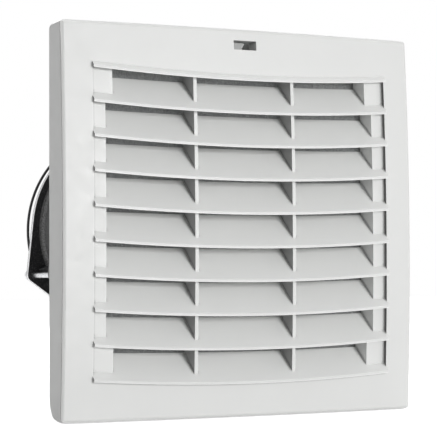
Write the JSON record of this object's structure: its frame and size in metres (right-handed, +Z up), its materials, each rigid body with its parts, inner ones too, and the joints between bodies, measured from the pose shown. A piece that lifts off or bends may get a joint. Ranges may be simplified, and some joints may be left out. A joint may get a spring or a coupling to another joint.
{
  "type": "enclosure filter fan",
  "caption": "Square louvred filter fan for a cabinet wall: hinged domed cover, filter mat, snap-in frame, tapered hood and round axial fan with wire guard.",
  "frame": {"origin": "centre of the wall cut-out, in the plane where the seal meets the cabinet wall's outer face", "axes": "+Y into the cabinet, +Z up, +X to the right seen from in front of the cover"},
  "size_m": [0.25, 0.2184, 0.25],
  "materials": {
    "cover_plastic": "light grey moulded plastic with a fine satin grain",
    "frame_plastic": "grey moulded plastic, satin",
    "latch_plastic": "grey moulded plastic, smooth",
    "seal_foam": "closed-cell foam",
    "filter_fibre": "matted synthetic fibre",
    "housing_paint": "black paint on die casting",
    "rotor_paint": "black dip coat, slightly glossy",
    "guard_wire": "black coated wire",
    "steel": "zinc-plated steel",
    "bright_steel": "ground steel",
    "core_sheet": "stacked core sheets",
    "aluminium_tube": "turned",
    "copper": "lacquered winding wire",
    "terminal_plastic": "off-white moulded plastic",
    "lead_sheath": "insulated leads in three colours"
  },
  "bodies": {
    "frame": {"mounting_frame": "frame_plastic", "panel_seal": "seal_foam", "filter_mat": "filter_fibre", "filter_grid": "frame_plastic", "hinge_pin_left": "bright_steel", "hinge_pin_right": "bright_steel", "latch_spring": "bright_steel", "fan_hood": "frame_plastic", "hood_screws": "steel", "fan_housing": "housing_paint", "motor_bracket": "housing_paint", "bearing_tube": "aluminium_tube", "stator_core": "core_sheet", "stator_windings": "copper", "front_bearing": "bright_steel", "rear_bearing": "bright_steel", "finger_guard": "guard_wire", "fan_screws": "steel", "fan_washers": "steel", "terminal_block": "terminal_plastic", "terminal_screws": "steel", "terminal_fixing_screws": "steel", "motor_leads": "lead_sheath"},
    "cover": {"front_cover": "cover_plastic"},
    "latch": {"latch_slide": "latch_plastic"},
    "rotor": {"rotor_can": "rotor_paint", "rotor_core": "core_sheet", "rotor_shaft": "bright_steel", "shaft_washer": "bright_steel", "shaft_retaining_ring": "core_sheet", "fan_blades": "rotor_paint"},
    "clip_left_upper": {"wall_clip_left_upper": "latch_plastic"},
    "clip_left_lower": {"wall_clip_left_lower": "latch_plastic"},
    "clip_right_upper": {"wall_clip_right_upper": "latch_plastic"},
    "clip_right_lower": {"wall_clip_right_lower": "latch_plastic"}
  },
  "joints": [
    {"name": "cover_hinge", "type": "hinge", "parent": "frame", "child": "cover", "pos_m": [0, -0.0085, -0.1165], "axis": [1, 0, 0], "range_deg": [0, 85]},
    {"name": "latch_travel", "type": "slide", "parent": "frame", "child": "latch", "axis": [-1, 0, 0], "range_m": [0, 0.004], "stiffness_N_per_m": 300},
    {"name": "rotor_spin", "type": "hinge", "parent": "frame", "child": "rotor", "pos_m": [0, 0.15, 0], "axis": [0, 1, 0], "continuous": true},
    {"name": "clip_left_upper_snap", "type": "hinge", "parent": "frame", "child": "clip_left_upper", "pos_m": [-0.1062, 0.011, 0.06], "axis": [0, 0, 1], "range_deg": [0, 12], "stiffness_Nm_per_rad": 0.3},
    {"name": "clip_left_lower_snap", "type": "hinge", "parent": "frame", "child": "clip_left_lower", "pos_m": [-0.1062, 0.011, -0.06], "axis": [0, 0, 1], "range_deg": [0, 12], "stiffness_Nm_per_rad": 0.3},
    {"name": "clip_right_upper_snap", "type": "hinge", "parent": "frame", "child": "clip_right_upper", "pos_m": [0.1062, 0.011, 0.06], "axis": [0, 0, -1], "range_deg": [0, 12], "stiffness_Nm_per_rad": 0.3},
    {"name": "clip_right_lower_snap", "type": "hinge", "parent": "frame", "child": "clip_right_lower", "pos_m": [0.1062, 0.011, -0.06], "axis": [0, 0, -1], "range_deg": [0, 12], "stiffness_Nm_per_rad": 0.3}
  ]
}
